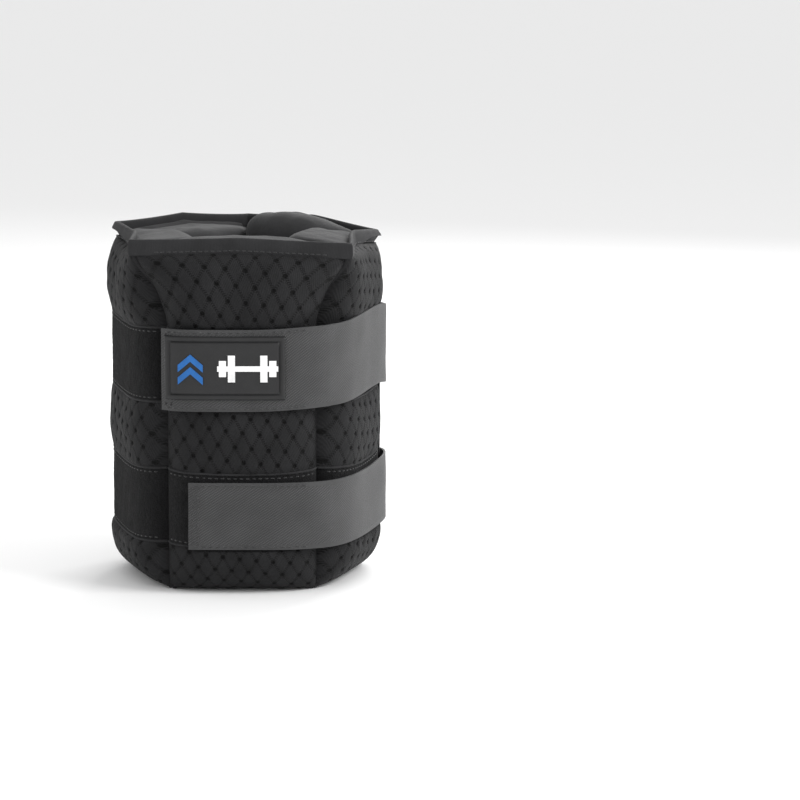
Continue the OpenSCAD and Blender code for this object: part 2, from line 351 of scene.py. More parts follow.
# ---- thread
class Thread:
    """Stitches that ride on one body, gathered into one piece."""

    def __init__(self, name, radius=0.32):
        self.name, self.radius = name, radius
        self.starts, self.ends = [], []

    def add(self, starts, ends):
        self.starts.append(np.asarray(starts, float).reshape(-1, 3))
        self.ends.append(np.asarray(ends, float).reshape(-1, 3))

    def row(self, path, stitch=2.7, gap=1.0):
        """Straight stitches along a path of points in metres."""
        path = np.asarray(path, float)
        run = run_along(path)
        pitch = (stitch + gap) * MM
        count = max(1, int(run[-1] / pitch))
        first = (np.arange(count) + 0.5) * run[-1] / count - stitch * MM / 2
        self.add(points_at(path, run, first), points_at(path, run, first + stitch * MM))

    def zigzag(self, path, across, pitch=2.4):
        """Zigzag stitches along a path, to both sides of it by the vector across."""
        path = np.asarray(path, float)
        run = run_along(path)
        count = max(2, int(run[-1] / (pitch * MM)))
        spots = np.linspace(0, run[-1], count + 1)
        at = points_at(path, run, spots)
        at = at + np.where(np.arange(count + 1) % 2, 1, -1)[:, None] * np.asarray(across, float)
        self.add(at[:-1], at[1:])

    def make(self, material, body):
        a, b = np.concatenate(self.starts), np.concatenate(self.ends)
        ahead = b - a
        length = np.linalg.norm(ahead, axis=-1, keepdims=True)
        ahead /= np.maximum(length, 1e-9)
        helper = np.where(np.abs(ahead[:, 2:3]) < 0.9, [[0.0, 0.0, 1.0]], [[1.0, 0.0, 0.0]])
        side = np.cross(ahead, helper)
        side /= np.linalg.norm(side, axis=-1, keepdims=True)
        up = np.cross(side, ahead)
        points = [a, b]
        for share in (0.18, 0.82):
            for k in range(5):
                turn = 2 * math.pi * k / 5
                spoke = math.cos(turn) * side + math.sin(turn) * up
                points.append(a + (b - a) * share + self.radius * MM * spoke)
        points = np.stack(points, 1)
        faces = []
        for k in range(5):
            n = (k + 1) % 5
            faces += [(0, 2 + k, 2 + n), (1, 7 + n, 7 + k)]
        quads = [(2 + k, 7 + k, 7 + (k + 1) % 5, 2 + (k + 1) % 5) for k in range(5)]
        base = np.arange(len(a))[:, None, None] * 12
        faces = (base + np.array(faces)).reshape(-1, 3).tolist()
        faces += (base + np.array(quads)).reshape(-1, 4).tolist()
        flat = points.reshape(-1, 3)
        piece = add_mesh(self.name, flat, faces, flat[:, :2], material, 80)
        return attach(piece, body)


# ---- materials
class Paint:
    """A procedural fabric: small helpers over one material's nodes."""

    def __init__(self, name, colour, roughness=0.9, sheen=0.0, specular=0.3):
        self.material = bpy.data.materials.new(name)
        self.material.use_nodes = True
        self.tree = self.material.node_tree
        self.shader = self.tree.nodes["Principled BSDF"]
        self.put("Base Color", (*colour, 1))
        self.put("Roughness", roughness)
        self.put("Specular IOR Level", specular)
        self.put("Sheen Weight", sheen)
        self.put("Sheen Roughness", 0.5)
        self.colour = colour
        self.heights = []

    def put(self, socket, value):
        if hasattr(value, "is_output"):
            self.tree.links.new(value, self.shader.inputs[socket])
        else:
            self.shader.inputs[socket].default_value = value

    def node(self, kind, inputs=(), **settings):
        n = self.tree.nodes.new(kind)
        for key, value in settings.items():
            setattr(n, key, value)
        for key, value in dict(inputs).items():
            if hasattr(value, "is_output"):
                self.tree.links.new(value, n.inputs[key])
            else:
                n.inputs[key].default_value = value
        return n

    def sum(self, operation, *values):
        return self.node("ShaderNodeMath", dict(enumerate(values)), operation=operation).outputs[0]

    def ramp(self, value, start, end, low=0.0, high=1.0, **settings):
        """From low to high as the value goes from start to end."""
        levels = {0: value, 1: start, 2: end, 3: low, 4: high}
        return self.node("ShaderNodeMapRange", levels, **settings).outputs[0]

    def uv(self):
        """Real distances across the fabric, in millimetres."""
        layer = self.node("ShaderNodeUVMap", uv_map="UVMap").outputs[0]
        split = self.node("ShaderNodeSeparateXYZ", {0: layer})
        return [self.sum("MULTIPLY", split.outputs[k], 1 / MM) for k in (0, 1)]

    def noise(self, size, detail=2.0, low=0.0, high=1.0, stretch=None):
        """Noise whose grains are about size millimetres."""
        where = self.node("ShaderNodeTexCoord").outputs["Object"]
        if stretch:
            where = self.node("ShaderNodeMapping", {0: where, 3: stretch}).outputs[0]
        n = self.node("ShaderNodeTexNoise", {"Vector": where, "Scale": 1 / (size * MM), "Detail": detail})
        return self.ramp(n.outputs[0], 0.3, 0.7, low, high)

    def wave(self, value, pitch, shift=0.0):
        """0 to 1 and back over each pitch."""
        angle = self.sum("MULTIPLY_ADD", value, 2 * math.pi / pitch, shift)
        return self.sum("MULTIPLY_ADD", self.sum("SINE", angle), 0.5, 0.5)

    def tint(self, *shares):
        """Multiplies the base colour by shares from the nodes."""
        total = shares[0]
        for share in shares[1:]:
            total = self.sum("MULTIPLY", total, share)
        mix = self.node("ShaderNodeVectorMath", {0: self.colour, "Scale": total}, operation="SCALE")
        self.put("Base Color", mix.outputs[0])

    def bump(self, height, depth):
        """Adds a height between 0 and 1 that stands this many millimetres proud."""
        self.heights.append(self.sum("MULTIPLY", height, depth * MM))

    def done(self):
        if self.heights:
            total = self.heights[0]
            for height in self.heights[1:]:
                total = self.sum("ADD", total, height)
            bump = self.node("ShaderNodeBump", {"Height": total, "Distance": 1.0, "Strength": 1.0})
            self.put("Normal", bump.outputs[0])
        return self.material


slots = {m["slot"]: m["base_color"] for m in frame["record"]["materials"]}

# The mesh's holes are a slanting lattice: these are its two steps, along and up, in millimetres.
HOLE_A, HOLE_B = (9.4, -1.1), (4.4, 7.8)
HOLE_AREA = HOLE_A[0] * HOLE_B[1] - HOLE_A[1] * HOLE_B[0]
HOLE_RADIUS = 1.25


def hole_distance(a, b):
    """Distance to the nearest hole of the mesh."""
    m = (HOLE_B[1] * a - HOLE_B[0] * b) / HOLE_AREA
    n = (-HOLE_A[1] * a + HOLE_A[0] * b) / HOLE_AREA
    m, n = m - np.round(m), n - np.round(n)
    return np.hypot(m * HOLE_A[0] + n * HOLE_B[0], m * HOLE_A[1] + n * HOLE_B[1])


def air_mesh():
    p = Paint("air_mesh", slots["air_mesh"], 0.7, 0.02, 0.16)
    a, b = p.uv()
    add, mul = "ADD", "MULTIPLY"
    m = p.sum("MULTIPLY_ADD", a, HOLE_B[1] / HOLE_AREA, p.sum(mul, b, -HOLE_B[0] / HOLE_AREA))
    n = p.sum("MULTIPLY_ADD", a, -HOLE_A[1] / HOLE_AREA, p.sum(mul, b, HOLE_A[0] / HOLE_AREA))
    dm, dn = (p.sum("SUBTRACT", v, p.sum("ROUND", v)) for v in (m, n))
    x = p.sum("MULTIPLY_ADD", dm, HOLE_A[0], p.sum(mul, dn, HOLE_B[0]))
    y = p.sum("MULTIPLY_ADD", dm, HOLE_A[1], p.sum(mul, dn, HOLE_B[1]))
    away = p.sum("SQRT", p.sum(add, p.sum(mul, x, x), p.sum(mul, y, y)))
    open_cloth = p.ramp(away, HOLE_RADIUS * 0.75, HOLE_RADIUS * 1.25, interpolation_type="SMOOTHSTEP")
    ring = p.ramp(away, HOLE_RADIUS, HOLE_RADIUS + 0.9, 1, 0)
    # Ladders of small slits run from hole to hole along both diagonals of the lattice.
    slits = None
    for step, line in ((HOLE_B, m), (np.subtract(HOLE_B, HOLE_A), p.sum(add, m, n))):
        length = math.hypot(*step)
        off = p.sum("ABSOLUTE", p.sum("SUBTRACT", line, p.sum("ROUND", line)))
        off = p.sum(mul, off, HOLE_AREA / length)
        near = p.ramp(off, 0.5, 1.15, 1, 0)
        along = p.sum("MULTIPLY_ADD", a, step[0] / length, p.sum(mul, b, step[1] / length))
        skew = p.sum("MULTIPLY_ADD", off, 0.5, along)
        slit = p.sum(mul, p.ramp(p.wave(skew, 1.25), 0.35, 0.8), near)
        slits = slit if slits is None else p.sum("MAXIMUM", slits, slit)
    ribs = p.wave(p.sum("MULTIPLY_ADD", a, 0.96, p.sum(mul, b, 0.28)), 0.8)
    cloth = p.sum("MULTIPLY_ADD", slits, -0.8, p.sum("MULTIPLY_ADD", ribs, 0.35, 1.0))
    p.tint(cloth, open_cloth, p.noise(14, 2, 0.8, 1.25), p.noise(0.7, 1, 0.8, 1.2))
    p.bump(p.sum("SUBTRACT", 1.0, slits), 0.45)
    p.bump(p.sum(mul, ribs, open_cloth), 0.1)
    p.bump(ring, 0.15)
    return p.done()


def smooth_fabric(name, slot, grain=0.35, depth=0.05, sheen=0.06, roughness=0.82):
    """Close-knit fabric with a fine grain."""
    p = Paint(name, slots[slot], roughness, sheen, 0.3)
    p.tint(p.noise(grain, 1, 0.75, 1.25), p.noise(22, 3, 0.85, 1.15))
    p.bump(p.noise(grain, 2), depth)
    p.bump(p.noise(5, 3), 0.12)
    return p.done()


def binding_tape():
    p = Paint("binding_tape", slots["binding"], 0.75, 0.04, 0.22)
    a, _ = p.uv()
    ribs = p.wave(a, 0.8)
    p.tint(p.sum("MULTIPLY_ADD", ribs, 0.25, 0.87), p.noise(9, 3, 0.82, 1.18))
    p.bump(ribs, 0.07)
    p.bump(p.noise(0.4, 1), 0.06)
    return p.done()


def loop_pile():
    p = Paint("loop_pile", slots["loop_pile"], 0.95, 0.04, 0.12)
    p.put("Sheen Roughness", 0.6)
    fuzz = p.noise(0.55, 3)
    p.tint(p.sum("MULTIPLY_ADD", fuzz, 1.3, 0.4), p.noise(7, 3, 0.7, 1.3))
    p.bump(fuzz, 0.45)
    p.bump(p.noise(2.2, 2), 0.4)
    return p.done()


def webbing(name, edges):
    """Twill webbing. Edges are the distances across at which its smooth selvages begin."""
    p = Paint(name, slots["webbing"], 0.55, 0.03, 0.4)
    a, b = p.uv()
    mul = "MULTIPLY"
    twill = p.wave(p.sum("MULTIPLY_ADD", a, 0.55, p.sum(mul, b, 0.83)), 1.25)
    cross = p.wave(p.sum("MULTIPLY_ADD", a, 0.9, p.sum(mul, b, -0.45)), 0.95)
    weave = p.sum(mul, p.sum("MULTIPLY_ADD", twill, 0.75, 0.25), p.sum("MULTIPLY_ADD", cross, 0.4, 0.6))
    inside = p.sum(mul, p.sum("GREATER_THAN", b, edges[0]), p.sum("LESS_THAN", b, edges[1]))
    weave = p.sum("ADD", p.sum(mul, weave, inside), p.sum(mul, p.sum("SUBTRACT", 1.0, inside), 0.5))
    p.tint(p.sum("MULTIPLY_ADD", weave, 1.1, 0.4), p.noise(18, 3, 0.85, 1.15))
    p.bump(weave, 0.28)
    p.bump(p.noise(0.3, 1), 0.04)
    return p.done()


def hook_tape():
    p = Paint("hook_tape", slots["hook_tape"], 0.55, 0.1, 0.5)
    a, b = p.uv()
    dots = p.sum("MULTIPLY", p.wave(a, 1.3), p.wave(b, 1.3))
    p.tint(p.sum("MULTIPLY_ADD", dots, 1.6, 0.5), p.noise(6, 2, 0.8, 1.2))
    p.bump(dots, 0.5)
    return p.done()


def canvas():
    p = Paint("bag_cloth", slots["bag_cloth"], 0.85, 0.2, 0.3)
    a, b = p.uv()
    weave = p.sum("MULTIPLY", p.wave(a, 0.9), p.wave(b, 0.9))
    p.tint(p.sum("MULTIPLY_ADD", weave, 0.7, 0.65), p.noise(15, 3, 0.85, 1.15))
    p.bump(weave, 0.2)
    p.bump(p.noise(3.5, 2), 0.35)
    return p.done()


def moulded(name, slot, roughness=0.5, sheen=0.0, grain=0.4):
    p = Paint(name, slots[slot], roughness, sheen, 0.4)
    p.tint(p.noise(8, 3, 0.88, 1.12))
    p.bump(p.noise(grain, 2), 0.05)
    return p.done()


def sand():
    p = Paint("iron_sand", slots["iron_sand"], 0.7, 0.0, 0.4)
    p.tint(p.noise(0.9, 2, 0.4, 1.7))
    p.bump(p.noise(0.9, 2), 0.5)
    return p.done()


paint = {
    "air_mesh": air_mesh(),
    "neoprene": smooth_fabric("neoprene", "neoprene"),
    "binding": binding_tape(),
    "loop_pile": loop_pile(),
    "webbing": webbing("webbing", (2.6, UPPER_STRAP[1] - UPPER_STRAP[0] - 2.6)),
    "webbing_narrow": webbing("webbing_narrow", (2.6, LOWER_STRAP[1] - LOWER_STRAP[0] - 2.6)),
    "hook_tape": hook_tape(),
    "bag_cloth": canvas(),
    "iron_sand": sand(),
    "patch_rubber": moulded("patch_rubber", "patch_rubber"),
    "mark_blue": moulded("mark_blue", "mark_blue", 0.45),
    "mark_white": moulded("mark_white", "mark_white", 0.5),
}


def cloth(slot):
    """A slot's material and its name."""
    return paint[slot], slot


thread_paint = smooth_fabric("thread", "binding", 0.2, 0.03, 0.3, 0.7)


# ---- covers
def pad_ends(pad):
    """Where the outside of a pad starts and ends along it."""
    start = -FREE_END if pad == BACK_RIGHT else -VALLEY_HALF
    end = FREE_END if pad == RIGHT else VALLEY_HALF
    return start, end


def spread(start, end, step):
    """Distances along a pad that are closer together near its seams."""
    count = int((end - start) / step) + 1
    x = np.linspace(-1, 1, count)
    x = x * (1.22 - 0.22 * x * x)
    return (start + end) / 2 + x * (end - start) / 2


# The foot curves in by FOOT_IN below the height FOOT, and the top lobe is LOBE proud of the bands.
FOOT = 25.0
FOOT_IN = -9.0
LOBE = 4.2


def cover_out(height):
    """How far out a cover is at the middle of its pad, and at its seams."""
    z = np.asarray(height, float)
    low, top = LOWER_BAND[0], RIM_BOTTOM
    foot = (1 - np.clip(1 - z / FOOT, 0, 1) ** 2.0) ** 0.5
    out = FOOT_IN + (PEAK - FOOT_IN) * foot
    climb = np.clip((z - FOOT) / (low - FOOT), 0, 1)
    lower_lobe = PINCH + (PEAK - PINCH) * np.cos(math.pi / 2 * climb) ** 0.7
    out = np.where((z > FOOT) & (z < low), lower_lobe, out)
    band = (z >= low) & (z < UPPER_BAND[1])
    between = (z > LOWER_BAND[1]) & (z < UPPER_BAND[0])
    share = np.clip((z - LOWER_BAND[1]) / (UPPER_BAND[0] - LOWER_BAND[1]), 0, 1)
    out = np.where(band, PINCH - 0.5, out)
    out = np.where(between, PINCH + 2.6 * np.abs(np.sin(math.pi * share)) ** 0.6, out)
    x = np.clip((z - UPPER_BAND[1]) / (top - UPPER_BAND[1]), 0, 1)
    crest = 0.4
    rise = PINCH + LOBE * np.sin(math.pi / 2 * np.clip(x / crest, 0, 1)) ** 0.8
    fade = (1 - np.clip((x - crest) / (1 - crest), 0, 1) ** 2.4) ** 0.5
    fall = RIM_OUT - 0.4 + (PINCH + LOBE - RIM_OUT + 0.4) * fade
    out = np.where(z >= UPPER_BAND[1], np.where(x < crest, rise, fall), out)
    seam = FOOT_IN + (VALLEY - FOOT_IN) * smooth(foot, 0, 0.9)
    seam = seam + (RIM_OUT - 1.0 - VALLEY) * smooth(z, top - 22, top)
    return out, seam


def cover_heights():
    """Heights of a cover's rows, evenly spaced over its curved lobes and far apart below the bands."""
    z = np.linspace(0, RIM_BOTTOM, 6000)
    out, _ = cover_out(z)
    hidden = np.zeros(len(z), bool)
    for low, high in (LOWER_BAND, UPPER_BAND):
        hidden |= (z > low + 4) & (z < high - 4)
    steps = np.hypot(np.diff(z), np.diff(out))
    run = np.concatenate([[0], np.cumsum(steps)])
    cost = np.concatenate([[0], np.cumsum(steps * np.where(hidden[1:], 0.2, 1.0))])
    rows = int(cost[-1] / 0.95)
    marks = np.interp(np.linspace(0, cost[-1], rows), cost, np.arange(len(z)))
    return np.interp(marks, np.arange(len(z)), z), np.interp(marks, np.arange(len(z)), run)


ROW_HEIGHTS, ROW_RUNS = cover_heights()


def band_sag(along):
    """How far the edges of a band hang between two seams."""
    return -1.8 * (1 - (np.asarray(along) / HALF) ** 2)


def cover(pad):
    start, end = pad_ends(pad)
    along = spread(start, end, 0.95)
    s, z = np.meshgrid(along, ROW_HEIGHTS, indexing="ij")
    _, run = np.meshgrid(along, ROW_RUNS, indexing="ij")
    middle, seam = cover_out(z)
    full = crown(s)
    out = seam + (middle - seam) * full
    soft = np.clip(middle - PINCH, 0, 3) / 3 * full
    out = out + soft * (0.55 * ripple(s, z, 26, pad + 1) + 0.25 * ripple(s, z, 11, pad + 11))
    for level in (*LOWER_BAND, *UPPER_BAND):
        near = np.exp(-(((z - level) / 6.5) ** 2))
        out = out + 0.45 * near * full * ripple(s, 0 * z, 8, pad * 7 + int(level))
    uv = np.stack([s, run], -1) * MM
    depth = 1.1 * np.exp(-((hole_distance(s, run) / 1.3) ** 2.4)) * smooth(full, 0, 0.3)
    out = out - depth
    height = z + band_sag(s) * smooth(z, 4, LOWER_BAND[0]) * (1 - smooth(z, UPPER_BAND[1], RIM_BOTTOM))
    narrow = 1 + (wedge_half(np.maximum(seam, VALLEY)) - VALLEY_HALF) / HALF * np.abs(s / HALF) ** 3
    top = place(pad, s * narrow, out, height)
    back = np.minimum(-0.3, seam + (middle - seam) * crown(s * 0.955) - 0.8)
    under = place(pad, s * 0.955, back, height)
    piece = solid(f"{PADS[pad]}_cover", top, under, *cloth("air_mesh"), 0.0, uv, 60, flat_back=True)
    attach(piece, f"{PADS[pad]}_pad")
    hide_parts(f"{PADS[pad]}_mesh_shell")


def bands(pad, thread):
    start, end = pad_ends(pad)
    for level, (low, high) in (("lower", LOWER_BAND), ("upper", UPPER_BAND)):
        along = spread(start, end, 1.0)
        across = np.linspace(low, high, int((high - low) / 1.0) + 1)
        s, z = np.meshgrid(along, across, indexing="ij")
        full = crown(s)
        edge = np.minimum(z - low, high - z)
        out = bulged(s, 1.2, BAND_EDGE + BAND_RISE) - 0.9 * np.exp(-edge / 1.2)
        fuzz = np.random.default_rng(pad * 2 + (level == "upper")).uniform(-1, 1, s.shape)
        out = out + 0.13 * fuzz + 0.3 * full * ripple(s, z, 17, pad + 31)
        height = z + band_sag(s)
        top = place(pad, s, out, height)
        under = place(pad, s, bulged(s, -0.3, BAND_SEAT + BAND_RISE - 0.4), height)
        piece = solid(f"{PADS[pad]}_{level}_loop", top, under, *cloth("loop_pile"), 0.3)
        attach(piece, f"{PADS[pad]}_pad")
        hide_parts(f"{PADS[pad]}_{level}_loop_band")
    cords = []
    for low, high in (LOWER_BAND, UPPER_BAND):
        for level in (low, high):
            s = spread(start, end, 1.6)
            wobble = 0.15 * ripple(s, 0 * s, 12, pad + int(level))
            path = place(pad, s, bulged(s, 0.8, BAND_EDGE - 0.5 + BAND_RISE), level + band_sag(s) + wobble)
            cords.append(loft("cord", tube_rings(path, 0.7, 8), *cloth("binding")))
            inward = 2.2 if level == low else -2.2
            s = np.linspace(start + 1, end - 1, 60)
            out = bulged(s, 1.3, BAND_EDGE - 0.1 + BAND_RISE)
            thread.row(place(pad, s, out, level + inward + band_sag(s)), 2.2, 1.2)
    piece = joined(f"{PADS[pad]}_band_piping", cords)
    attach(piece, f"{PADS[pad]}_pad")


# ---- rim, foot and corners
def rim_section():
    """Outline of the folded rim binding: distances out and heights."""
    low, top = RIM_BOTTOM, RIM_TOP
    return np.array(
        [
            (RIM_OUT + 0.9, low - 0.9), (RIM_OUT + 0.7, low + 1.5), (RIM_OUT + 0.25, low + 4.5),
            (RIM_OUT, top - 1.4), (RIM_OUT - 0.5, top - 0.4), (1.75, top), (0.7, top - 0.4),
            (0.2, top - 1.4), (0.1, low + 4), (0.1, low + 0.4), (0.9, low), (RIM_OUT - 0.6, low - 0.6),
        ]
    )


def foot_section():
    """Outline of the binding that closes the foot."""
    middle = FOOT_IN - 3.0
    lower = [(-1.6, 1.0), (-1.1, 0.2), (0.0, 0.0), (1.1, 0.2), (1.6, 1.0)]
    upper = [(1.7, 3.0), (1.4, 4.6), (0, 5.0), (-1.4, 4.6), (-1.6, 3.0)]
    return np.array([(middle + out, height) for out, height in lower + upper])


def bent_flat(pad, along):
    """How far the rim's flange is bent outwards: 1 at the two side corners, and 0 well away from them."""
    angle = 270 + 72 * pad + math.degrees(math.atan2(along, INRADIUS))
    away = min(degrees_between(angle, side_corner) for side_corner in SIDE_CORNERS)
    return float(1 - smooth(away, 4, 34))


def edge_rings(section, stations):
    """Rings of an edge binding through stations of (pad, distance along, 1 where it is mitred)."""
    rings = []
    for pad, along, mitred in stations:
        out, height = section.T
        swell = 0.12 * ripple(np.array([along]), np.array([0.0]), 9, pad + 3)
        shift = out * TAN_HALF * mitred
        if height.max() > RIM_BOTTOM:
            flat = bent_flat(pad, along) * (out > 1.2)
            hang = RIM_TOP - height
            out = out + 0.12 * flat * hang
            height = RIM_TOP - hang * (1 - 0.55 * flat)
        rings.append(place(pad, along + shift, out + swell * (out > 1), height))
    return rings


def edge_bindings(pad, thread):
    left, right = -38.0, 38.0
    plain = [(pad, s, 0) for s in np.arange(left, right + 0.1, 2.0)]
    if pad == RIGHT:
        plain += [(pad, s, 0) for s in (40, 42, 44)] + [(pad, HALF - 0.3, 0.9)]
    if pad == BACK_RIGHT:
        plain = [(pad, 0.3 - HALF, -0.9)] + [(pad, s, 0) for s in (-44, -42, -40)] + plain
    rim = loft("rim", edge_rings(rim_section(), plain), *cloth("binding"), 60)
    low_stations = [(pad, s, 0) for s in np.arange(-36, 36.1, 2.0)]
    foot = loft("foot", edge_rings(foot_section(), low_stations), *cloth("binding"), 60)
    piece = joined(f"{PADS[pad]}_rim_binding", [rim, foot])
    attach(piece, f"{PADS[pad]}_pad")
    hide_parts(f"{PADS[pad]}_edge_binding")
    s = np.linspace(left, right, 50)
    thread.row(place(pad, s, RIM_OUT + 0.75, RIM_BOTTOM + 0.9), 2.4, 1.0)
    thread.row(place(pad, s, 0.0, RIM_BOTTOM + 2.4), 2.4, 1.0)


def corner(first, second, name):
    """The bindings and the seam's edge that run round the corner between two pads."""
    stations = [(first, s, 0) for s in (38, 40, 42, 43.5, 45)] + [(first, HALF, 1)]
    stations += [(second, s, 0) for s in (-45, -43.5, -42, -40, -38)]
    rim = loft("rim", edge_rings(rim_section(), stations), *cloth("binding"), 60)
    low_stations = [(first, s, 0) for s in (36, 37, 38, 39)] + [(first, HALF, 1)]
    low_stations += [(second, s, 0) for s in (-39, -38, -37, -36)]
    foot = loft("foot", edge_rings(foot_section(), low_stations), *cloth("binding"), 60)
    height = np.linspace(10, RIM_BOTTOM, 60)
    _, seam = cover_out(height)
    top, under = [], []
    web_stations = [(first, 1, 0.0), (first, 1, 0.5), (first, 1, 1.0), (second, -1, 0.5), (second, -1, 0.0)]
    for pad, side, share in web_stations:
        outside, inside = seam - 0.2 + 0.5 * share, seam - 1.6 - 7 * smooth(height, 174, 189)
        for layer, out in ((top, outside), (under, inside)):
            along = HALF + out * TAN_HALF - 1.6 * (1 - share)
            layer.append(place(pad, side * along, out, height))
    top, under = np.array(top), np.array(under)
    web = solid("web", top, under, *cloth("binding"), 0.0)
    piece = joined(f"{name}_corner", [rim, foot, web])
    start = place(first, 41.5, 0, 100)
    end = place(second, -41.5, 0, 100)
    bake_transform(piece)


def end_binding(pad):
    """Binding rolled over the free end of the cuff."""
    side = 1 if pad == RIGHT else -1
    low, high = 9.0, RIM_BOTTOM - 4
    turn = np.linspace(0, 1, 9)
    z = np.linspace(low, high, 60)
    t, h = np.meshgrid(turn, z, indexing="ij")
    s = FREE_END - 0.3 + t * (HALF - SIDE_GAP - FREE_END + 0.3)
    middle, _ = cover_out(h)
    tuck = np.where(h < FOOT, PEAK - middle, 0)
    out = 4.6 * (1 - t**3.2) ** 0.45 + 0.25 + 0.12 * ripple(h, t * 5, 10, pad) - tuck
    top = place(pad, side * s, out, h)
    under = place(pad, side * s, np.minimum(-0.25, out - 1), h)
    piece = solid(f"{PADS[pad]}_end_roll", top, under, *cloth("binding"), 0.2)
    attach(piece, f"{PADS[pad]}_pad")
    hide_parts(f"{PADS[pad]}_end_binding")


# ---- lining pockets and flaps
MOUTH = 150.0


def lining(pad, thread):
    """The pocket: side walls, a wall on the ankle's side, and a floor."""
    corner_round = 3.0
    depth = -WALL_IN
    side = wedge_half(0) - wedge_half(WALL_IN)
    path = []
    first_share = (0.6 - FOOT_IN) / depth * 0.8
    for x in np.linspace(first_share, 1, 14)[:-1]:
        path.append((-(wedge_half(0) - side * x), -depth * x, 0.0))
    for s in np.linspace(-wedge_half(WALL_IN), wedge_half(WALL_IN), 30):
        path.append((s, WALL_IN, 1.0))
    for x in np.linspace(1, first_share, 14)[1:]:
        path.append((wedge_half(0) - side * x, -depth * x, 0.0))
    path = np.array(path)
    s, out = path[:, 0] * 0.997, path[:, 1].copy()
    sharp = wedge_half(WALL_IN)
    inner = np.clip((sharp - np.abs(s)) / sharp, 0, 1)
    wall = path[:, 2]
    near_corner = np.exp(-((np.abs(np.abs(s) - sharp) / corner_round) ** 2)) * (out < -20)
    s, out = s - np.sign(s) * 0.9 * near_corner, out + 0.9 * near_corner
    rows = np.linspace(0, 1, 60)
    height_limit = np.where(wall > 0, MOUTH, MOUTH + (RIM_BOTTOM - 1 - MOUTH) * smooth(-out, 27, 20))
    z = 0.2 + rows[None, :] * (height_limit[:, None] - 0.2)
    puff = wall[:, None] * np.clip(1 - (1 - inner[:, None]) ** 3, 0, 1)
    puff = puff * smooth(z, 0, 16) * (1 - smooth(z, 108, 124))
    puff = puff * (3.0 + 0.6 * ripple(s[:, None], z, 24, pad + 51))
    normal_s = np.where(wall > 0, 0, np.sign(s) * math.cos(TURN / 2))
    normal_u = np.where(wall > 0, -1, -math.sin(TURN / 2))
    top = place(pad, s[:, None] + 0 * z, out[:, None] - puff, z)
    thick = 2.2
    back_s, back_out = s - normal_s * thick, out - normal_u * thick
    under = place(pad, back_s[:, None] + 0 * z, back_out[:, None] - puff * 0.9, z)
    walls = solid("walls", top, under, *cloth("neoprene"), 0.5)
    x, y = np.meshgrid(np.linspace(-1, 1, 24), np.linspace(WALL_IN + 2.6, FOOT_IN - 3.2, 10), indexing="ij")
    across = x * (wedge_half(y) - 2.6)
    low, high = place(pad, across, y, 0.3 + 0.3 * x * x), place(pad, across, y, 2.9 + 0 * x)
    floor = solid("floor", low, high, *cloth("neoprene"), 0.3)
    piece = joined(f"{PADS[pad]}_pocket", [walls, floor])
    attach(piece, f"{PADS[pad]}_pad")
    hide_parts(f"{PADS[pad]}_lining")
    s = np.linspace(-wedge_half(WALL_IN) + 3, wedge_half(WALL_IN) - 3, 30)
    thread.row(place(pad, s, WALL_IN - 0.15, MOUTH - 3.0), 2.4, 1.0)


# How full each flap's roof and leg are, how far its roof lies below the CAD flap's top, and how square it is.
FLAP_SHAPE = {
    FRONT: (1.5, 1.5, 2, 5),
    RIGHT: (2.0, 2.0, 2, 5),
    BACK_RIGHT: (8.0, 4.5, 3, 2.6),
    BACK_LEFT: (2.0, 2.5, 6, 4),
    LEFT: (1.5, 2.0, 3, 5),
}


def flap_line(drop):
    """Side view of a flap's middle surface, from its root over the roof and down the leg."""
    roof = FLAP_TOP - 1.2 - drop
    bend = 5.0
    inner = FLAP_IN + 1.2
    a = np.radians(np.linspace(0, 90, 12))
    points = [(0.4, RIM_BOTTOM + 2.0), (-0.9, RIM_BOTTOM + 3.4), (-2.6, roof - 0.8), (-5.0, roof)]
    points += [(x, roof) for x in np.arange(-7.5, inner + bend, -2.0)]
    points += [(inner + bend - bend * math.sin(t), roof - bend + bend * math.cos(t)) for t in a]
    points += [(inner, z) for z in np.arange(roof - bend - 2, FLAP_HEM + 0.1, -2.0)]
    line = np.array(points)
    run = run_along(line)
    fine = np.linspace(0, run[-1], 90)
    line = points_at(line, run, fine)
    for _ in range(6):
        line[1:-1] = (line[:-2] + 2 * line[1:-1] + line[2:]) / 4
    ahead = np.gradient(line, axis=0)
    ahead /= np.linalg.norm(ahead, axis=-1, keepdims=True)
    normal = np.stack([ahead[:, 1], -ahead[:, 0]], -1)
    return line, normal, fine


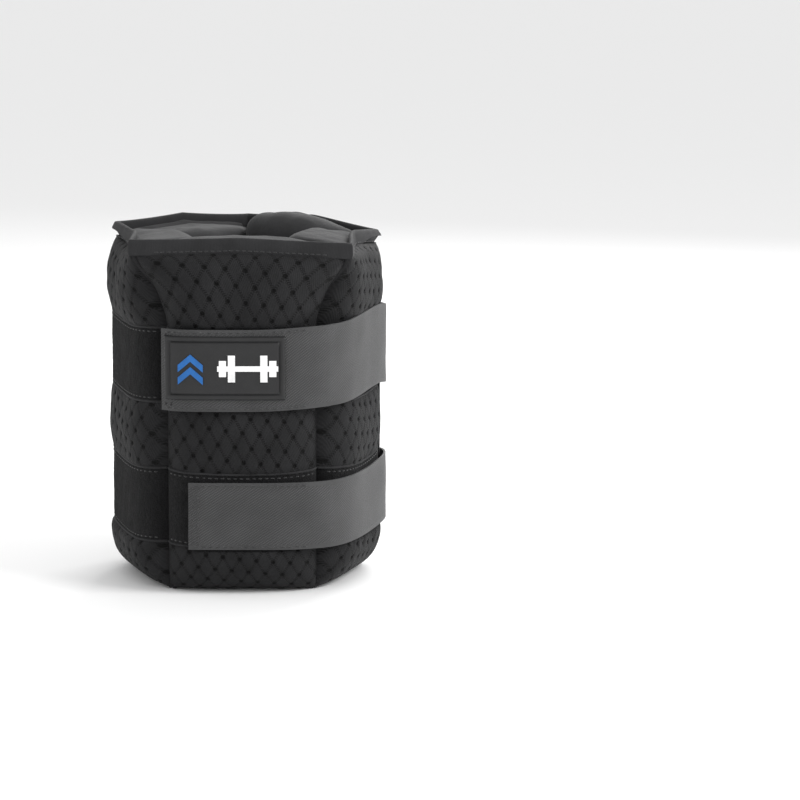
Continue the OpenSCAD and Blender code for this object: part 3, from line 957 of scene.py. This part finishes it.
def flap(pad):
    roof_puff, leg_puff, drop, square = FLAP_SHAPE[pad]
    line, normal, run = flap_line(drop)
    out, z = line.T
    half = np.minimum(wedge_half(np.minimum(out, -1)) - 0.5, 40.5)
    half = np.minimum(half, np.interp(z, [FLAP_HEM, FLAP_HEM + 3], [half.min() - 1.2, 99]))
    x = np.linspace(-1, 1, 45)
    x = x * (1.2 - 0.2 * x * x)
    t, row = np.meshgrid(x, np.arange(len(run)), indexing="ij")
    u, h, half_row, along_run = out[row], z[row], half[row], run[row]
    total = run[-1]
    roof_len = 29.0
    roof = np.sin(math.pi * np.clip(along_run / (roof_len + 14), 0, 1)) ** 0.8
    leg = smooth(along_run, roof_len - 12, roof_len + 10) * (1 - smooth(along_run, total - 26, total - 13))
    side = (1 - np.abs(t) ** square) ** 0.6
    across = t * half_row
    wave = 0.45 * ripple(across, along_run, 22, pad + 71) + 0.2 * ripple(across, along_run, 9, pad + 81)
    puff = (roof_puff * roof + leg_puff * leg + wave) * side
    groove = 0.7 * np.exp(-(((along_run - (total - 11.5)) / 1.0) ** 2))
    lift = 1.2 * (0.35 + 0.65 * side) + puff - groove * side
    nu, nz = normal[row, 0], normal[row, 1]
    top = place(pad, across, u + nu * lift, h + nz * lift)
    under_u, under_z = u - nu * 1.1 * (0.5 + 0.5 * side), h - nz * 1.1 * (0.5 + 0.5 * side)
    under = place(pad, across, under_u, under_z)
    piece = solid(f"{PADS[pad]}_flap_cover", top, under, *cloth("neoprene"), 0.4)
    start = place(pad, 0, 1.0, FLAP_TOP)
    end = place(pad, 0, -4.0, FLAP_TOP)
    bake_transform(piece)
    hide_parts(f"{PADS[pad]}_pocket_flap")
    thread = Thread(f"{PADS[pad]}_flap_stitches")
    rows = len(run)
    for inset in (11.5, 2.5):
        row_index = int(np.argmin(np.abs(run - (total - inset))))
        points = top[3:-3, row_index]
        if inset > 5:
            outward = top[22, row_index] - under[22, row_index]
            outward /= np.linalg.norm(outward)
            ahead = top[22, row_index + 1] - top[22, row_index]
            ahead = ahead / np.linalg.norm(ahead) * 1.3 * MM
            thread.zigzag(points + outward * 0.1 * MM, ahead, 2.2)
        else:
            thread.row(points, 2.4, 1.0)
    for column in (2, -3):
        thread.row(top[column, rows - 8 : rows - 1], 2.2, 1.0)
    thread.make(thread_paint, f"{PADS[pad]}_flap")


# ---- bags
def bag_rings(pad, inset):
    """Rings of a bag up to the flat hem at its top, or with an inset, of the sand below the hem."""
    near, far = BAG_IN + inset, BAG_OUT - inset
    low, high = BAG_SEAT + inset, BAG_TOP - inset
    turn = 2 * math.pi * np.arange(64) / 64
    cos, sin = np.cos(turn), np.sin(turn)
    middle, deep = (near + far) / 2, (far - near) / 2
    rings = []
    shares_up = [np.linspace(-1, -0.9, 9), np.linspace(-0.88, 0.84, 50), np.linspace(0.86, 1, 9)]
    for x in np.concatenate(shares_up):
        if inset and x > 0.86:
            break
        height = (low + high) / 2 + x * (high - low) / 2
        end = np.clip(1 - abs(x) ** 14, 0, 1) ** 0.5
        hem = 0.9 * smooth(x, 0.74, 0.86) if inset else smooth(x, 0.86, 0.95)
        thin = max(end * (1 - hem), 0.09 if hem > 0.5 else 0.16)
        out = middle + deep * thin * np.sign(sin) * np.abs(sin) ** 0.55
        half = (wedge_half(out) - 3.9 - inset) * (0.93 + 0.07 * end) - 1.5 * hem
        along = half * np.sign(cos) * np.abs(cos) ** 0.55
        lump = 0.45 * ripple(along, height + 0 * along, 20, pad + 91) * (1 - hem) * end
        out = np.clip(out + np.sign(sin) * (lump - 0.5) * np.abs(sin), near, far)
        rings.append(place(pad, along, out, height))
    return rings


def bag(pad):
    body = f"{PADS[pad]}_bag"
    outer = loft(f"{PADS[pad]}_sand_bag", bag_rings(pad, 0.0), *cloth("bag_cloth"), 70)
    x, y = np.meshgrid(np.linspace(-8, 8, 10), np.linspace(0, 1, 18), indexing="ij")
    middle = (BAG_IN + BAG_OUT) / 2
    loop_height = BAG_TOP - 9 + 14 * y
    bend = 1.6 * np.sin(math.pi * y) + 1.3
    near, far = (place(pad, x, middle - bend + thick, loop_height) for thick in (0, 1.1))
    tab = solid("tab", near, far, *cloth("webbing"), 0.3)
    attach(outer, body)
    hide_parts(f"{PADS[pad]}_weight_bag")
    tab.name = f"{PADS[pad]}_bag_tab"
    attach(tab, body)
    inner = loft(f"{PADS[pad]}_sand_fill", bag_rings(pad, 1.6), *cloth("iron_sand"), 70)
    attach(inner, body)
    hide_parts(f"{PADS[pad]}_iron_sand")
    thread = Thread(f"{PADS[pad]}_bag_stitches")
    s = np.linspace(-27, 27, 40)
    for height in (BAG_TOP - 2.2, BAG_TOP - 5.0):
        for side in (-1, 1):
            thread.row(place(pad, s, middle + side * 1.35, height), 2.6, 1.0)
    thread.make(thread_paint, body)


# ---- straps
def strap_rise(pad, share, height):
    """How far the straps climb over the front right corner, between their level ends."""
    climb = np.interp(height, [LOWER_STRAP[1], UPPER_STRAP[0]], [0.5, 5.0])
    if pad == FRONT:
        return climb * 0.45 * smooth(share, 0.1, 1.2)
    if pad == RIGHT:
        return climb * (0.45 + 0.55 * smooth(share, -1.0, 0.0)) * (1 - smooth(share, 0.2, 1.0))
    return 0.0 * climb


def strap_grid(stations, low, high, edge, seed, across=22):
    """Rows of points on one layer of a strap, through stations of (pad, share)."""
    height = np.linspace(low, high, across)
    rows = []
    for pad, share in stations:
        wave = 0.25 * ripple(np.array([share * 50 + pad * 100]), height, 26, seed)
        rows.append(strap_place(pad, share, edge + wave, height + strap_rise(pad, share, height)))
    return np.array(rows)


def shares(start, end, step=1.5):
    return np.linspace(start, end, max(3, int(abs(end - start) * reach(STRAP_EDGE) / step)))


def strap(level, low, high, free_end):
    """One strap: its rear length, its free length from the right pad's middle, its sewn base and its hook."""
    lap = reach(STRAP_EDGE)
    root = 40.0 / lap
    material = paint["webbing" if level == "upper" else "webbing_narrow"]
    seed = 5 if level == "upper" else 6
    sewn = [(BACK_RIGHT, x) for x in shares(0.155, -0.985)] + [(RIGHT, x) for x in shares(1.0, 0.0)]
    free = [(RIGHT, x) for x in shares(0.0, -0.985)] + [(FRONT, x) for x in shares(1.0, -free_end / lap)]
    pieces = []
    run = 0.0
    for name, stations in (("rear", sewn), ("lead", free)):
        top = strap_grid(stations, low, high, STRAP_EDGE, seed)
        under = strap_grid(stations, low, high, STRAP_IN, seed)
        columns = top.shape[1]
        a = run_along(top[:, columns // 2]) + run
        b = np.linspace(0, high - low, columns) * MM
        uv = np.stack(np.meshgrid(a, b, indexing="ij"), -1)
        run = a[-1]
        pieces.append(solid(f"{level}_strap_{name}", top, under, material, "webbing", 0.0, uv, 35))
    rear, lead = pieces
    tuple(strap_place(BACK_RIGHT, -root + 0.05, STRAP_EDGE, low))
    tuple(strap_place(BACK_RIGHT, -root - 0.07, STRAP_EDGE, low))
    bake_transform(rear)
    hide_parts(f"{level}_strap_side")
    tuple(strap_place(RIGHT, -0.86, STRAP_EDGE, low))
    tuple(strap_place(FRONT, 0.86, STRAP_EDGE, low))
    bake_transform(lead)
    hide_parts(f"{level}_strap_front")
    base_stations = [(BACK_RIGHT, x) for x in shares(0.16, -root + 0.03)]
    base = solid(
        f"{level}_strap_base", strap_grid(base_stations, low, high, STRAP_IN - 0.1, seed),
        strap_grid(base_stations, low, high, BAND_EDGE + 0.2, seed), material, "webbing", 0.3,
    )
    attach(base, "back_right_pad")
    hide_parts(f"{level}_strap_anchor")
    hook_stations = [(FRONT, x) for x in shares(0.8, -(free_end - 2) / lap)]
    hook = solid(
        f"{level}_hook_strip", strap_grid(hook_stations, low + 1, high - 1, STRAP_IN - 0.05, seed),
        strap_grid(hook_stations, low + 1, high - 1, HOOK_EDGE, seed), *cloth("hook_tape"), 0.2,
    )
    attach(hook, f"{level}_front_length")
    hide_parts(f"{level}_strap_hook")
    proud = STRAP_EDGE + 0.3
    sewn_thread = Thread(f"{level}_anchor_stitches")
    # A box stitch with a cross in it.
    near, far, bottom, top = 0.11, -0.68, low + 3, high - 3
    box = [(near, bottom), (near, top), (far, top), (far, bottom), (near, bottom), (far, top)]
    box += [(far, bottom), (near, top)]
    for (a, b), (c, d) in zip(box, box[1:]):
        x = np.linspace(0, 1, 30)
        sewn_thread.row(strap_place(BACK_RIGHT, a + (c - a) * x, proud - 0.25, b + (d - b) * x), 2.8, 1.1)
    sewn_thread.make(thread_paint, "back_right_pad")
    lead_thread = Thread(f"{level}_strap_stitches")
    for inset in (2.5, 5.5):
        z = np.linspace(low + 2, high - 2, 20)
        x = -(free_end - inset) / lap
        lead_thread.row(strap_place(FRONT, x, proud, z + strap_rise(FRONT, x, z)), 2.4, 1.0)
    for z in (low + 1.6, high - 1.6):
        x = np.linspace(0.75, -(free_end - 2.5) / lap, 60)
        lead_thread.row(strap_place(FRONT, x, proud, z + strap_rise(FRONT, x, z)), 2.8, 1.2)
    lead_thread.make(thread_paint, f"{level}_front_length")


def patch():
    """Moulded patch with a grooved border."""
    low, high = PATCH
    lap = reach(STRAP_EDGE)
    start, end = -0.85, 0.5
    s, z = np.meshgrid(np.linspace(start, end, 137), np.linspace(low, high, 69), indexing="ij")
    edge = np.minimum(np.minimum(s - start, end - s) * lap, np.minimum(z - low, high - z))
    height = (PATCH_EDGE - STRAP_EDGE) * np.clip(edge / 0.8, 0, 1) ** 0.5
    height = height - 0.75 * np.exp(-(((edge - 3.2) / 0.55) ** 4))
    height = height + 0.15 * np.exp(-(((edge - 2.0) / 0.7) ** 2))
    top = strap_place(FRONT, s, STRAP_EDGE + 0.05 + height, z)
    under = strap_place(FRONT, s, STRAP_EDGE - 0.3, z)
    piece = solid("patch_plate", top, under, *cloth("patch_rubber"), 0.0, None, 60)
    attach(piece, "upper_front_length")
    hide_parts("patch")
    for node, slot in (("patch_chevrons", "mark_blue"), ("patch_dumbbell", "mark_white")):
        mark = frame["nodes"][node]
        mark.data.materials.clear()
        mark.data.materials.append(paint[slot])
        soften = mark.modifiers.new("soften", "BEVEL")
        soften.width, soften.segments, soften.limit_method = 0.18 * MM, 2, "ANGLE"


for pad, name in enumerate(PADS):
    thread = Thread(f"{name}_stitching")
    cover(pad)
    bands(pad, thread)
    edge_bindings(pad, thread)
    lining(pad, thread)
    thread.make(thread_paint, f"{name}_pad")
    flap(pad)
    bag(pad)
    hook = frame["nodes"][f"{name}_flap_hook"]
    hook.data.materials.clear()
    hook.data.materials.append(paint["hook_tape"])
corner(FRONT, RIGHT, "front_right")
corner(BACK_RIGHT, BACK_LEFT, "back")
corner(BACK_LEFT, LEFT, "back_left")
corner(LEFT, FRONT, "front_left")
end_binding(RIGHT)
end_binding(BACK_RIGHT)
strap("lower", *LOWER_STRAP, 0.6 * reach(STRAP_EDGE))
strap("upper", *UPPER_STRAP, 0.9 * reach(STRAP_EDGE))
patch()


# ---- floor, light and camera
def panel(name, location, target, size, power):
    data = bpy.data.lights.new(name, "AREA")
    data.shape, data.size, data.size_y = "RECTANGLE", size[0], size[1]
    data.energy = power
    lamp = bpy.data.objects.new(name, data)
    lamp.location = location
    lamp.rotation_euler = (Vector(target) - Vector(location)).to_track_quat("-Z", "Y").to_euler()
    bpy.context.scene.collection.objects.link(lamp)


ground = bpy.data.meshes.new("floor")
ground.from_pydata([(-9, -9, 0), (9, -9, 0), (9, 9, 0), (-9, 9, 0)], [], [(0, 1, 2, 3)])
floor = bpy.data.objects.new("floor", ground)
floor.location = (0, 0, -0.0005)
pale = bpy.data.materials.new("pale_floor")
pale.use_nodes = True
pale.node_tree.nodes["Principled BSDF"].inputs["Base Color"].default_value = (0.9, 0.9, 0.9, 1)
pale.node_tree.nodes["Principled BSDF"].inputs["Roughness"].default_value = 0.6
ground.materials.append(pale)
bpy.context.scene.collection.objects.link(floor)

world = bpy.data.worlds.new("studio")
world.use_nodes = True
world.node_tree.nodes["Background"].inputs[0].default_value = (1, 1, 1, 1)
world.node_tree.nodes["Background"].inputs[1].default_value = 0.9
bpy.context.scene.world = world
bpy.context.scene.view_settings.view_transform = "Standard"

panel("key", (1.1, -0.5, 0.9), (0, 0, 0.12), (0.6, 0.7), 16)
panel("fill", (-1.1, -0.8, 0.6), (0, 0, 0.1), (0.8, 0.8), 2)
panel("back", (0.5, 1.2, 0.9), (0, 0, 0.12), (0.9, 0.5), 12)

CAMERA_RIGHT, CAMERA_DISTANCE, CAMERA_TILT = 0.063, 2.0, 9.0
CAMERA_SHIFT = 0.054
tilt = math.radians(CAMERA_TILT)
aim = Vector((CAMERA_RIGHT, 0, 0.099))
camera_data = bpy.data.cameras.new("camera")
camera_data.lens = 36 * CAMERA_DISTANCE / 0.464
camera_data.shift_x = CAMERA_SHIFT
camera = bpy.data.objects.new("camera", camera_data)
camera.location = aim + CAMERA_DISTANCE * Vector((0, -math.cos(tilt), math.sin(tilt)))
camera.rotation_euler = (math.pi / 2 - tilt, 0, 0)
bpy.context.scene.collection.objects.link(camera)
bpy.context.scene.camera = camera
